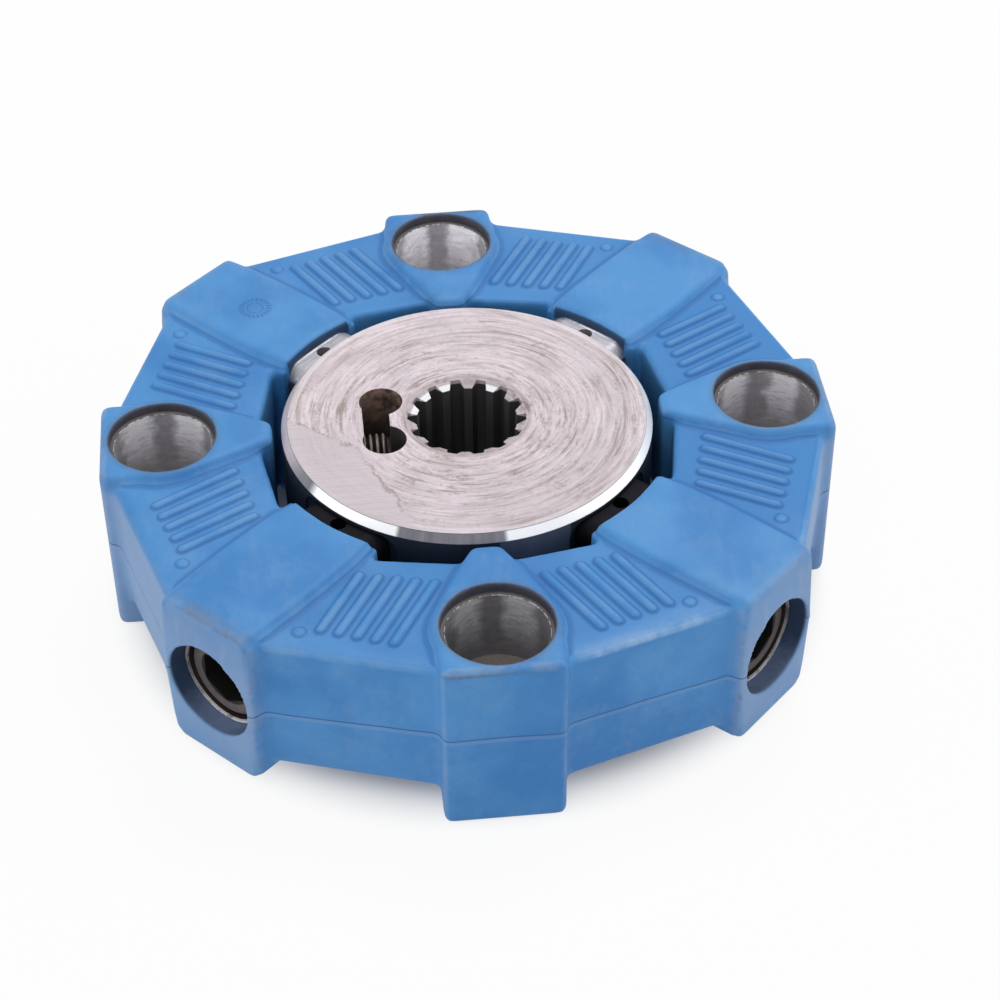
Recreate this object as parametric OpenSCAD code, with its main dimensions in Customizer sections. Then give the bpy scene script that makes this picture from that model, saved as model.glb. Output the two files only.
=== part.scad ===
// Hydraulic pump coupling: a torsionally soft rubber element that joins a splined pump hub to a
// drive flange. Four axial bosses take the flange bolts. Four radial bosses between them are
// screwed to the hub. Millimetres, +Z along the shaft. The origin is on the shaft axis, in the
// plane that bears on the drive flange.

/* [Coupling] */
// Diameter of the circle through the four flange bolts
bolt_circle_d = 165; // [163:0.5:167]
// Height of the axial bosses above the flange
element_h = 54; // [53.6:0.1:60]
// Height of the middle plane of webs, radial screws and hub above half the bosses' height
mid_rise = 2; // [0:0.1:2.2]

/* [Axial bosses] */
// Distance from the centre of a flange bolt to the outer flat of its boss
axial_land = 16.8; // [16:0.1:20]
// Width of an axial boss
axial_boss_w = 31.6; // [31:0.2:33.2]
// Diameter of the round part of an axial boss
axial_round_d = 33.6; // [32:0.2:35]
// Angle round the bolt hole at which the sides of a nose leave the round part
nose_start = 120; // [112:1:126]
// Gap between the hub and the tip of a nose
nose_tip_gap = 2.4; // [1:0.1:3.5]
// Width of the tip of a nose
nose_tip_w = 7.8; // [5:0.2:10]
// Distance from the hub to the knee in the sides of a nose
nose_knee_gap = 9; // [7.5:0.1:10.5]
// Width of a nose at its knee
nose_knee_w = 15.2; // [13:0.2:17]
// Radius on the upper and lower edges of the outer flats and of the tips
boss_edge_r = 2.2; // [1:0.1:3]
// Radius on the upright edges of an axial boss
axial_corner_r = 2; // [1:0.1:3]

/* [Radial bosses] */
// Distance from the circle through the flange bolts to the outer flat of a radial boss
radial_reach = 21.5; // [20.5:0.1:24.5]
// Width of a radial boss
radial_boss_w = 30.8; // [30:0.2:32]
// Depth from the top of the axial bosses down to the top of a radial boss beside its pad
radial_boss_drop = 2.5; // [2:0.1:2.7]
// Radius on the long edges of a radial boss
radial_edge_r = 1.5; // [0.5:0.1:2.5]
// Width of the raised pads on a radial boss at their middle
radial_pad_w = 29.2; // [27.5:0.1:29.8]
// Radius of the bulging sides of the pads
radial_pad_bulge_r = 250; // [200:10:500]
// Depth from the top of the axial bosses down to the pads
radial_pad_drop = 0.5; // [0.4:0.1:1]
// Radius on the long edges of the pads
radial_pad_edge_r = 1; // [0.4:0.1:1.4]
// Draft of the outer flat and the sides of a radial boss, in degrees
radial_draft = 2; // [0.5:0.1:3]
// Radius on the upright outer corners of a radial boss
radial_corner_r = 2.5; // [1:0.1:5]
// Distance from the hub to the rubber wall behind the insert pads
inner_wall_gap = 5.5; // [4.7:0.1:6.5]

/* [Webs] */
// Depth from the top of the axial bosses down to the webs
web_drop = 2.8; // [2.8:0.1:4]
// Distance from the bolt circle to the outer wall beside an axial boss, at the parting plane
web_out_axial = 13.6; // [11:0.1:14.2]
// Distance from the bolt circle to the outer wall beside a radial boss, at the parting plane
web_out_radial = 17.8; // [15:0.1:18.7]
// Distance from the hub to the inner wall beside a nose, at the parting plane
web_in_axial = 5; // [3.5:0.1:7.5]
// Distance from the hub to the inner wall beside a radial boss, at the parting plane
web_in_radial = 7.1; // [5.6:0.1:9.5]
// Draft of the web walls above the mould's parting plane, in degrees
web_draft_up = 0.8; // [0.5:0.1:4]
// Draft of the web walls below the mould's parting plane, in degrees
web_draft_down = 3.4; // [0.5:0.1:4]
// Radius on the outer edges of the webs
web_out_edge_r = 3; // [2:0.1:6]
// Radius on the inner edges of the webs
web_in_edge_r = 1.5; // [1:0.1:4]

/* [Grip ribs] */
// Number of ribs on each web
rib_count = 5; // [3:1:5]
// Angle between a rib and the centre line of the axial boss, in degrees
rib_angle = 30; // [27:1:33]
// Distance between neighbouring ribs
rib_pitch = 4.7; // [4:0.1:5]
// Distance along the ribs by which each one starts after the one before
rib_stagger = 1.3; // [0.5:0.1:2]
// Distance from the hub to the start of the first rib, along the centre line of the boss
rib_start_gap = 12.1; // [10.5:0.1:14.5]
// Distance from the centre line of the boss to the start of the first rib
rib_start_w = 13.3; // [12:0.1:15]
// Length by which the first rib is shorter than the way from the hub to the bolt circle
rib_margin = 5.9; // [5:0.1:10]
// Length by which each rib is shorter than the one before
rib_shortening = 0.5; // [0:0.1:1]
// Width of a rib where it leaves the web
rib_w = 2.8; // [2:0.1:3.4]
// Height of a rib above the web
rib_h = 0.8; // [0.4:0.1:1.2]
// Diameter of the round nub beside a radial boss
nub_d = 3.2; // [2:0.1:4]
// Height of a nub above the web
nub_h = 0.8; // [0.4:0.1:1.2]
// Distance from the bolt circle inwards to a nub, along the centre line of the axial boss
nub_inset = 5; // [3.5:0.1:7.5]
// Distance from the side of the radial boss to a nub
nub_gap = 4.8; // [3.6:0.1:6]

/* [Axial sleeves] */
// Outer diameter of an axial sleeve
axial_sleeve_d = 28.4; // [28:0.1:29]
// Diameter of the counterbore of an axial sleeve
axial_bore_d = 26.4; // [25:0.1:26.8]
// Depth from the boss's top down to the rim of the sleeve
axial_rim_depth = 2.5; // [1:0.1:4]
// Depth from the boss's top down to the floor of the counterbore
axial_floor_depth = 23.7; // [20:0.1:30]
// Diameter of the flange bolt holes
flange_hole_d = 17; // [16.5:0.1:18]
// Chamfer on the edges of an axial sleeve
axial_chamfer = 0.5; // [0.2:0.1:0.7]

/* [Radial inserts] */
// Outer diameter of the round part of a radial insert
radial_insert_d = 27.3; // [26.8:0.1:28]
// Depth from the outer flat of a radial boss down to the end of its insert
radial_insert_depth = 5.6; // [4:0.1:7]
// Chamfer on the outer end of a radial insert
radial_chamfer = 0.6; // [0.2:0.1:0.8]
// Width of the pad of a radial insert
insert_pad_w = 26.6; // [25:0.2:28]
// Depth from the end face of the hub down to the top of an insert pad
insert_pad_drop = 3.5; // [3:0.1:4]
// Radius on the corners of an insert pad
insert_corner_r = 5; // [3:0.5:7]
// Diameter of the pin hole in the top of an insert pad
pin_hole_d = 4.4; // [3:0.1:4.6]
// Depth of the pin hole
pin_hole_depth = 12; // [6:0.5:12]
// Distance from the side of the hub to the centre of the pin hole
pin_hole_gap = 1.9; // [0.5:0.1:2.5]

/* [Hub] */
// Outer diameter of the hub
hub_d = 101; // [99.5:0.1:102]
// Length of the hub
hub_l = 50; // [49:0.5:52]
// Width of the hub's edge chamfer, measured on the end face
hub_chamfer_w = 1.8; // [1:0.1:2.2]
// Depth of the hub's edge chamfer
hub_chamfer_h = 2.2; // [1:0.1:2.4]
// Depth of a pocket for an insert pad, below the side of the hub
pocket_depth = 3; // [2.7:0.1:4]
// Width of a pocket
pocket_w = 32; // [30:0.2:33]
// Radius on the corners of a pocket
pocket_corner_r = 5; // [3:0.5:8]

/* [Spline bore] */
// Number of teeth
spline_teeth = 14; // [12:1:15]
// Diameter over the bottoms of the tooth spaces
spline_major_d = 32.4; // [31.6:0.1:33]
// Diameter over the tips of the teeth
spline_minor_d = 27.5; // [27:0.1:28]
// Width of a tooth space at its bottom
space_bottom_w = 2.6; // [2:0.1:3]
// Width of a tooth space at the tips of the teeth
space_mouth_w = 4; // [3.5:0.1:4.2]
// Angle of the first tooth space, in degrees
first_space = 19.1; // [0:0.1:25.6]
// Width of the lead-in chamfer at both ends of the bore, measured on the end face
lead_in_w = 3.6; // [1:0.1:3.8]
// Depth of the lead-in chamfer
lead_in_h = 1.8; // [0.5:0.1:2.4]

/* [Clamping slot] */
// Diameter of the round ends of the slot
slot_end_d = 11.9; // [10:0.1:12]
// Distance from the shaft axis to the line through the centres of the round ends
slot_end_x = 22.9; // [22.7:0.1:23.4]
// Distance between the centres of the two round ends
slot_end_gap = 16.4; // [15:0.1:16.8]
// Distance from the shaft axis to the inner wall of the slot
slot_inner_x = 21; // [20.4:0.1:21.6]
// Width of the slot between its round ends
slot_w = 7.3; // [6:0.1:7.8]

/* [Radial screws] */
// Shank diameter of the radial screws
radial_screw_d = 16; // [14:0.5:16]
// Length of the radial screws inside the hub
radial_screw_grip = 16.1; // [12:0.1:16.2]
// Head diameter of the radial screws
radial_head_d = 24; // [21:0.1:24.2]
// Head height of the radial screws
radial_head_h = 16; // [14:0.5:17]
// Chamfer on the head and the tip of the radial screws
radial_screw_chamfer = 1.1; // [0.5:0.1:1.5]
// Distance from the outer end of an insert down to the screw head
radial_head_recess = 1; // [0.2:0.1:2]
// Width across the flats of the radial screws' sockets
radial_socket_af = 14; // [10:0.5:15]
// Depth of the radial screws' sockets
radial_socket_depth = 8; // [6:0.5:9]
// Depth of the tapped holes beyond the tips of the radial screws
tapped_end = 2; // [0.5:0.1:2]

/* [Clamp screw] */
// Major diameter of the clamp screw
clamp_d = 12; // [10:0.5:12]
// Thread pitch of the clamp screw
clamp_pitch = 1.75; // [1.5:0.05:2]
// Depth from the side of the hub down to the end of the clamp screw
clamp_recess = 4.45; // [1.5:0.05:7.5]
// Width across the flats of the clamp screw's socket
clamp_socket_af = 6; // [5:0.5:6.5]
// Depth of the clamp screw's socket
clamp_socket_depth = 6; // [4:0.5:8]
// Depth from the hub's top face to the axis of the clamp screw
clamp_depth = 12; // [11.5:0.1:14]

/* [Fits] */
// Bond line between the rubber and its inserts
bond_gap = 0.05; // [0.02:0.01:0.1]
// Gap above and below an insert pad in its pocket
pad_gap = 0.2; // [0.1:0.05:0.4]
// Radial clearance of the radial screws' heads
head_gap = 0.4; // [0.2:0.05:0.6]
// Radial clearance of the radial screws' shanks in the inserts
shank_gap = 0.5; // [0.3:0.05:0.8]
// Radial clearance of the screws in the hub's tapped holes
thread_gap = 0.08; // [0.03:0.01:0.15]
// Gap between the tip of the clamp screw and the inner wall of the slot
tip_gap = 0.05; // [0.02:0.01:0.1]

/* [Hidden] */
$fn = 96;
over = 1;
far = 140;
// Bulge by which a round edge crosses its drafted wall, where it would only touch it
crease = 0.01;
turns = [0:3];
bolt_r = bolt_circle_d / 2;
hub_r = hub_d / 2;
mid_z = element_h / 2 + mid_rise;
hub_bottom = mid_z - hub_l / 2;
hub_top = mid_z + hub_l / 2;
axial_boss_r = bolt_r + axial_land;
nose_tip_r = hub_r + nose_tip_gap;
nose_knee_r = hub_r + nose_knee_gap;
radial_boss_r = bolt_r + radial_reach;
radial_boss_h = 2 * (element_h - radial_boss_drop - mid_z);
radial_pad_h = 2 * (element_h - radial_pad_drop - mid_z);
inner_wall_r = hub_r + inner_wall_gap;
web_top = element_h - web_drop;
web_h = 2 * (web_top - mid_z);
rib_start_r = hub_r + rib_start_gap;
rib_l = bolt_r - hub_r - rib_margin;
nub_r = bolt_r - nub_inset;
nub_w = nub_r - (radial_boss_w / 2 + nub_gap) * sqrt(2);
axial_hole_r = axial_sleeve_d / 2 + bond_gap;
radial_hole_r = radial_insert_d / 2 + bond_gap;
radial_insert_r = radial_boss_r - radial_insert_depth;
insert_pad_h = hub_l - 2 * insert_pad_drop;
pin_hole_r = hub_r + pin_hole_gap;
pocket_r = hub_r - pocket_depth;
head_r = radial_insert_r - radial_head_recess;
head_seat_r = head_r - radial_head_h;
screw_tip_r = pocket_r - radial_screw_grip;
clamp_l = hub_r - slot_inner_x - tip_gap - clamp_recess;

// Point beside a radial boss, in the frame of the axial boss before it
function beside_radial(r) = [(r + radial_boss_w / 2) * sqrt(0.5),
                             (r - radial_boss_w / 2) * sqrt(0.5)];

// Lays a profile drawn in X and Y upright, extruded along X from the given radius
module along_radius(start_r, length) {
    translate([start_r, 0, mid_z])
        rotate([90, 0, 90])
            linear_extrude(length)
                children();
}

// Rectangle with round corners
module rounded_plate(w, h, r) {
    square([w - 2 * r, h], center = true);
    square([w, h - 2 * r], center = true);
    for (sx = [-1, 1], sy = [-1, 1])
        translate([sx * (w / 2 - r), sy * (h / 2 - r)])
            circle(r = r);
}

// Side view of a boss between two radii, with its four edges rounded
module side_view(from_r, to_r, z, h) {
    translate([(from_r + to_r) / 2, far / 2, z])
        rotate([90, 0, 0])
            linear_extrude(far)
                rounded_plate(to_r - from_r, h, boss_edge_r);
}

// Half of a moulded wall's profile: the parting line at the origin, the body to the right of it
module half_wall(half, draft, edge_r) {
    edge_y = half - edge_r;
    edge_x = edge_y * tan(draft) + edge_r / cos(draft) - crease;
    touch_y = edge_y + edge_r * sin(draft);
    polygon([[far, 0], [0, 0], [touch_y * tan(draft), touch_y], [edge_x, half], [far, half]]);
    translate([edge_x, edge_y])
        circle(r = edge_r);
}

// Moulded wall through a and b at the parting plane, the body on its left
module wall(a, b, h, up, down, edge_r) {
    run = b - a;
    translate([a[0], a[1], mid_z])
        rotate([0, 0, atan2(run[1], run[0])])
            translate([-far, 0, 0])
                rotate([90, 0, 90])
                    linear_extrude(2 * far) {
                        half_wall(h / 2, up, edge_r);
                        mirror([0, 1])
                            half_wall(h / 2, down, edge_r);
                    }
}

// One web, from inside the nose of an axial boss to inside the radial boss at 45 degrees
module web() {
    from = nose_tip_w / 2;
    inset = radial_boss_w / 4 * sqrt(2);
    intersection() {
        wall([bolt_r + web_out_axial, axial_boss_w / 2], beside_radial(bolt_r + web_out_radial),
             web_h, web_draft_up, web_draft_down, web_out_edge_r);
        wall(beside_radial(hub_r + web_in_radial), [hub_r + web_in_axial, nose_knee_w / 2],
             web_h, web_draft_up, web_draft_down, web_in_edge_r);
        linear_extrude(element_h)
            polygon([[from + inset, from], [far, from], [far, far - inset]]);
    }
}

// Raised round rib, sunk so that it leaves the web at rib_w
module rib(index) {
    round_r = (rib_w * rib_w / 4 + rib_h * rib_h) / (2 * rib_h);
    length = rib_l - rib_shortening * index;
    translate([rib_start_r, rib_start_w, web_top + rib_h - round_r])
        rotate([0, 0, rib_angle])
            translate([rib_stagger * index + rib_w / 2, rib_pitch * index, 0]) {
                rotate([0, 90, 0])
                    cylinder(r = round_r, h = length - rib_w, $fn = 32);
                sphere(r = round_r, $fn = 32);
                translate([length - rib_w, 0, 0])
                    sphere(r = round_r, $fn = 32);
            }
}

module axial_boss() {
    half = axial_boss_w / 2;
    start = axial_round_d / 2 * [cos(nose_start), sin(nose_start)];
    intersection() {
        linear_extrude(element_h)
            union() {
                translate([bolt_r, -half])
                    square([axial_boss_r - bolt_r - axial_corner_r, axial_boss_w]);
                translate([bolt_r, axial_corner_r - half])
                    square([axial_boss_r - bolt_r, axial_boss_w - 2 * axial_corner_r]);
                for (side = [-1, 1])
                    translate([axial_boss_r - axial_corner_r, side * (half - axial_corner_r)])
                        circle(r = axial_corner_r);
                translate([bolt_r, 0])
                    circle(d = axial_round_d);
                polygon([[nose_tip_r, -nose_tip_w / 2], [nose_knee_r, -nose_knee_w / 2],
                         [bolt_r + start[0], -start[1]], [bolt_r + start[0], start[1]],
                         [nose_knee_r, nose_knee_w / 2], [nose_tip_r, nose_tip_w / 2]]);
            }
        side_view(nose_tip_r, axial_boss_r, element_h / 2, element_h);
    }
}

// Disc with a round edge, one side of a pad
module pad_side() {
    translate([(inner_wall_r + radial_boss_r) / 2, radial_pad_w / 2 - radial_pad_bulge_r, mid_z])
        rotate_extrude($fn = 360)
            intersection() {
                rounded_plate(2 * radial_pad_bulge_r, radial_pad_h, radial_pad_edge_r);
                translate([0, -far])
                    square([2 * far + radial_pad_bulge_r, 2 * far]);
            }
}

module radial_boss() {
    start_r = inner_wall_r / 2;
    half = radial_boss_w / 2 + radial_boss_h / 2 * tan(radial_draft);
    difference() {
        intersection() {
            union() {
                intersection_for (side = [0, 1])
                    mirror([0, side, 0])
                        wall([radial_boss_r, half], [start_r, half], radial_boss_h,
                             radial_draft, radial_draft, radial_edge_r);
                intersection() {
                    pad_side();
                    mirror([0, 1, 0])
                        pad_side();
                    along_radius(start_r, far)
                        square([radial_boss_w, radial_pad_h], center = true);
                }
            }
            translate([start_r / 2 + radial_boss_r / 2, 0, 0])
                linear_extrude(element_h)
                    rounded_plate(radial_boss_r - start_r, 2 * half, radial_corner_r);
            wall([radial_boss_r, -half], [radial_boss_r, half], radial_pad_h,
                 radial_draft, radial_draft, boss_edge_r);
        }
        translate([0, 0, -over])
            cylinder(r = inner_wall_r, h = element_h + 2 * over, $fn = 180);
    }
}

module rubber_element() {
    color("steelblue")
        difference() {
            union() {
                for (turn = turns)
                    rotate([0, 0, 90 * turn]) {
                        axial_boss();
                        rotate([0, 0, 45])
                            radial_boss();
                        for (side = [0, 1])
                            mirror([0, side, 0]) {
                                web();
                                for (index = [0:rib_count - 1])
                                    rib(index);
                                translate([nub_r, nub_w, web_top - over])
                                    cylinder(d = nub_d, h = over + nub_h, $fn = 32);
                            }
                    }
            }
            for (turn = turns)
                rotate([0, 0, 90 * turn]) {
                    translate([bolt_r, 0, -over])
                        cylinder(r = axial_hole_r, h = element_h + 2 * over);
                    rotate([0, 0, 45])
                        translate([inner_wall_r / 2, 0, mid_z])
                            rotate([0, 90, 0])
                                cylinder(r = radial_hole_r, h = far);
                }
        }
}

// Bonded sleeve of an axial boss, with a counterbore for the bolt head
module axial_sleeve(index) {
    rim_z = element_h - axial_rim_depth;
    floor_z = element_h - axial_floor_depth;
    outer = axial_sleeve_d / 2;
    bore = axial_bore_d / 2;
    hole = flange_hole_d / 2;
    edge = axial_chamfer;
    color("silver")
        rotate([0, 0, 90 * (index - 1)])
            translate([bolt_r, 0, 0])
                rotate_extrude()
                    polygon([[hole + edge, 0], [outer - edge, 0], [outer, edge], [outer, rim_z],
                             [bore + edge, rim_z], [bore, rim_z - edge], [bore, floor_z],
                             [hole, floor_z], [hole, edge]]);
}

// Bonded insert of a radial boss: a counterbored sleeve with a pad that seats on the hub
module radial_insert(index) {
    pad_face_r = inner_wall_r - bond_gap;
    outer = radial_insert_d / 2;
    tube_r = sqrt(pad_face_r * pad_face_r - outer * outer);
    tube_l = radial_insert_r - tube_r;
    pad_top = mid_z + insert_pad_h / 2;
    color("lightgray")
        rotate([0, 0, 90 * (index - 1) + 45])
            difference() {
                union() {
                    intersection() {
                        along_radius(pocket_r, far)
                            rounded_plate(insert_pad_w, insert_pad_h, insert_corner_r);
                        cylinder(r = pad_face_r, h = element_h, $fn = 180);
                    }
                    translate([tube_r, 0, mid_z])
                        rotate([0, 90, 0])
                            rotate_extrude()
                                polygon([[0, 0], [outer, 0], [outer, tube_l - radial_chamfer],
                                         [outer - radial_chamfer, tube_l], [0, tube_l]]);
                }
                translate([pocket_r - over, 0, mid_z])
                    rotate([0, 90, 0])
                        cylinder(r = radial_screw_d / 2 + shank_gap, h = far);
                translate([head_seat_r, 0, mid_z])
                    rotate([0, 90, 0])
                        cylinder(r = radial_head_d / 2 + head_gap, h = far);
                translate([pin_hole_r, 0, pad_top - pin_hole_depth])
                    cylinder(d = pin_hole_d, h = pin_hole_depth + over, $fn = 32);
            }
}

// Socket-head cap screw of a radial boss
module radial_screw(index) {
    edge = radial_screw_chamfer;
    head = radial_head_d / 2;
    shank = radial_screw_d / 2;
    color("dimgray")
        rotate([0, 0, 90 * (index - 1) + 45])
            translate([0, 0, mid_z])
                rotate([0, 90, 0])
                    difference() {
                        rotate_extrude()
                            polygon([[0, screw_tip_r], [shank - edge, screw_tip_r],
                                     [shank, screw_tip_r + edge], [shank, head_seat_r],
                                     [head, head_seat_r], [head, head_r - edge],
                                     [head - edge, head_r], [0, head_r]]);
                        translate([0, 0, head_r - radial_socket_depth])
                            cylinder(d = radial_socket_af / cos(30), h = far, $fn = 6);
                    }
}

// Space between two teeth of the spline, open to the bore
module spline_space() {
    minor = spline_minor_d / 2;
    major = spline_major_d / 2;
    mouth = space_mouth_w / 2;
    bottom = space_bottom_w / 2;
    polygon([[minor - over, -mouth], [minor, -mouth], [major, -bottom],
             [major, bottom], [minor, mouth], [minor - over, mouth]]);
}

// Slot beside the bore, which lets the clamp screw squeeze the hub onto the shaft
module clamping_slot() {
    translate([-slot_inner_x - slot_w, -slot_end_gap / 2])
        square([slot_w, slot_end_gap]);
    for (side = [-1, 1])
        translate([-slot_end_x, side * slot_end_gap / 2])
            circle(d = slot_end_d);
}

module hub() {
    minor = spline_minor_d / 2;
    color("gainsboro")
        difference() {
            rotate_extrude($fn = 180)
                polygon([[minor + lead_in_w, hub_bottom],
                         [hub_r - hub_chamfer_w, hub_bottom], [hub_r, hub_bottom + hub_chamfer_h],
                         [hub_r, hub_top - hub_chamfer_h], [hub_r - hub_chamfer_w, hub_top],
                         [minor + lead_in_w, hub_top], [minor, hub_top - lead_in_h],
                         [minor, hub_bottom + lead_in_h]]);
            translate([0, 0, hub_bottom - over])
                linear_extrude(hub_l + 2 * over)
                    union() {
                        for (tooth = [0:spline_teeth - 1])
                            rotate([0, 0, first_space + tooth * 360 / spline_teeth])
                                spline_space();
                        clamping_slot();
                    }
            for (turn = turns)
                rotate([0, 0, 90 * turn + 45]) {
                    along_radius(pocket_r, far)
                        rounded_plate(pocket_w, insert_pad_h + 2 * pad_gap, pocket_corner_r);
                    translate([screw_tip_r - tapped_end, 0, mid_z])
                        rotate([0, 90, 0])
                            cylinder(r = radial_screw_d / 2 + thread_gap, h = far);
                }
            translate([-slot_inner_x - slot_w / 2, 0, hub_top - clamp_depth])
                rotate([0, -90, 0])
                    cylinder(r = clamp_d / 2 + thread_gap, h = far);
        }
}

// Socket set screw from the side of the hub across the slot, its flat tip against the inner wall
module clamp_screw() {
    crest = clamp_d / 2;
    root = crest - 0.62 * clamp_pitch;
    flat = 1;
    turns_cut = floor((clamp_l - 2 * flat) / clamp_pitch);
    color("dimgray")
        translate([-slot_inner_x - tip_gap, 0, hub_top - clamp_depth])
            rotate([0, -90, 0])
                difference() {
                    rotate_extrude()
                        polygon(concat(
                            [[0, 0], [root, 0]],
                            [for (n = [0:turns_cut - 1], peak = [0, 1])
                                [peak == 0 ? root : crest, flat + (n + peak / 2) * clamp_pitch]],
                            [[root, flat + turns_cut * clamp_pitch], [root, clamp_l],
                             [0, clamp_l]]));
                    translate([0, 0, clamp_l - clamp_socket_depth])
                        cylinder(d = clamp_socket_af / cos(30), h = far, $fn = 6);
                }
}

rubber_element();
axial_sleeve(1);  // axial_sleeve_1
axial_sleeve(2);  // axial_sleeve_2
axial_sleeve(3);  // axial_sleeve_3
axial_sleeve(4);  // axial_sleeve_4
radial_insert(1);  // radial_insert_1
radial_insert(2);  // radial_insert_2
radial_insert(3);  // radial_insert_3
radial_insert(4);  // radial_insert_4
radial_screw(1);  // radial_screw_1
radial_screw(2);  // radial_screw_2
radial_screw(3);  // radial_screw_3
radial_screw(4);  // radial_screw_4
hub();
clamp_screw();
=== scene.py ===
import math

import bmesh
import bpy
from mathutils import Matrix, Vector


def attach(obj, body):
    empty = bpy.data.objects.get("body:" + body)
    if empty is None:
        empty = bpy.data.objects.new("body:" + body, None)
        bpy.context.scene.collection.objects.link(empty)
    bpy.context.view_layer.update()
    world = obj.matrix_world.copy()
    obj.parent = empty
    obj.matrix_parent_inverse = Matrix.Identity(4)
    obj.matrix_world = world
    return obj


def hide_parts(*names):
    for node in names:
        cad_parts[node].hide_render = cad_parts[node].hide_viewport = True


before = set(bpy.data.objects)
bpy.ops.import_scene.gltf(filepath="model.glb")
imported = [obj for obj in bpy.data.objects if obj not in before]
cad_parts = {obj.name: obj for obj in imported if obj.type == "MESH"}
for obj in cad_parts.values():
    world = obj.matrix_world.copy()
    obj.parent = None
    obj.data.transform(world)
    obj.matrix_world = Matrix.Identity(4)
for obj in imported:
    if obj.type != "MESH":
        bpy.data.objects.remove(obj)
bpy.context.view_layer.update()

mm = 0.001
midZ = 29  # parting plane of the rubber, mm above the flange
boltCircle = 82.5  # radius of the circle of flange bolts
overlap = 1  # a half block reaches this far past the parting plane
near = 0.01  # heights closer than this are the same
quarters = [math.radians(90 * k) for k in range(4)]
slant = math.sqrt(0.5)


# helpers for making pieces, all in mm

def newMesh(bm, name):
    mesh = bpy.data.meshes.new(name)
    bmesh.ops.recalc_face_normals(bm, faces=bm.faces)
    bm.to_mesh(mesh)
    bm.free()
    piece = bpy.data.objects.new(name, mesh)
    bpy.context.scene.collection.objects.link(piece)
    return piece


def prism(outline, low, high):
    # closed block over a plan outline
    bm = bmesh.new()
    bottom = bm.faces.new([bm.verts.new((x, y, low)) for x, y in outline])
    top = bmesh.ops.extrude_face_region(bm, geom=[bottom])["geom"]
    bmesh.ops.translate(bm, verts=[v for v in top if isinstance(v, bmesh.types.BMVert)],
                        vec=(0, 0, high - low))
    bmesh.ops.recalc_face_normals(bm, faces=bm.faces)
    return bm


def roundEdges(bm, chosen, radius):
    # rounds the edges that the test chosen picks
    bmesh.ops.bevel(bm, geom=[e for e in bm.edges if chosen(e)], offset=radius,
                    offset_type="OFFSET", segments=5, profile=0.5, affect="EDGES",
                    material=-1, clamp_overlap=True)


def upright(e):
    # an edge over 1 mm high that leans by less than 31 degrees
    a, b = e.verts
    tall = abs(a.co.z - b.co.z)
    return tall > 1 and (a.co.xy - b.co.xy).length < 0.6 * tall


def levelAt(e, heights):
    # an edge that lies at one of the heights
    a, b = e.verts
    return abs(a.co.z - b.co.z) < near and min(abs(a.co.z - h) for h in heights) < near


def outerUpright(least):
    # test for the upright edges by an outer flat, further out than least
    return lambda e: upright(e) and min(v.co.x for v in e.verts) > least


def arc(cx, radius, start, end, steps):
    # part of a circle round (cx, 0), from one angle to another in degrees
    angles = [math.radians(start + (end - start) * k / steps) for k in range(steps + 1)]
    return [(cx + radius * math.cos(a), radius * math.sin(a)) for a in angles]


def pour(part, whole):
    # adds one bmesh to another and frees it
    mesh = bpy.data.meshes.new("poured")
    part.to_mesh(mesh)
    part.free()
    whole.from_mesh(mesh)
    bpy.data.meshes.remove(mesh)


def flipHeight(bm):
    # the same block on the other side of the parting plane
    bmesh.ops.scale(bm, verts=bm.verts, vec=(1, 1, -1),
                     space=Matrix.Translation((0, 0, -midZ)))
    bmesh.ops.reverse_faces(bm, faces=bm.faces)
    return bm


def withModifier(piece, kind, **settings):
    # adds one modifier and applies it
    modifier = piece.modifiers.new(kind, kind)
    for key, value in settings.items():
        setattr(modifier, key, value)
    depsgraph = bpy.context.evaluated_depsgraph_get()
    made = bpy.data.meshes.new_from_object(piece.evaluated_get(depsgraph))
    piece.modifiers.clear()
    old = piece.data
    piece.data = made
    bpy.data.meshes.remove(old)


# rubber element: soft-edged blocks, melted together, then ribs and holes

rubberSize = {
    # axial bosses and their noses
    "height": 54, "axialFace": 99.3, "axialHalf": 15.8, "axialRound": 16.8, "axialEdge": 2.0,
    "noseStart": 120, "noseSteps": 6, "kneeAt": 59.5, "kneeHalf": 7.6,
    "tipAt": 52.9, "tipHalf": 3.9,
    # radial bosses, whose sides and flats lean by the draft
    "radialFace": 104, "radialHalf": 15.4, "radialTop": 51.5, "radialCorner": 1.8,
    "radialEdge": 1.2, "radialLowEdge": 2.8, "radialDraft": 2, "draftFrom": 61,
    "edgeFrom": 9, "innerWall": 56, "wallSteps": 8,
    # pads on them: half widths at distances from the shaft axis
    "padHalf": (12.9, 13.7, 14.3, 14.6, 14.5, 14.2, 13.5),
    "padAt": (54, 60, 67, 75, 85, 95, 104), "padTop": 53.5, "padCorner": 1.3,
    "padEdge": 0.8, "padLowEdge": 2.4,
    # webs: outer and inner walls, and how deep they run into the bosses
    "webTop": 51.2, "webBottom": 8.9, "webDraftUp": 0.8, "webDraftDown": 3.4,
    "webOutEdge": 2.6, "webInEdge": 1.2, "webOut": (96.1, 100.3), "webIn": (55.5, 57.6),
    "webInAxial": 0.62, "webInRadial": 0.5,
    # ribs and nubs
    "ribStart": (62.6, 13.3), "ribLength": 26.1, "ribShorter": 0.5, "ribPitch": 4.7,
    "ribStagger": 1.3, "ribAngle": 30, "ribRound": 1.25, "ribHeight": 1.2, "ribs": 5,
    "nubAt": (77.5, 48.9), "nubFoot": 1.6, "nubTop": 1.3, "nubHeight": 0.55, "nubSunk": 2,
    # holes
    "axialHole": 14.24, "radialHole": 13.7, "holeSides": 96, "cutter": 80,
    # melting, softening and thinning
    "coarseVoxel": 0.85, "softening": 6, "fineVoxel": 0.5, "lastSoftening": 2,
    "smooth": 0.5, "triangles": 190000,
}


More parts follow.
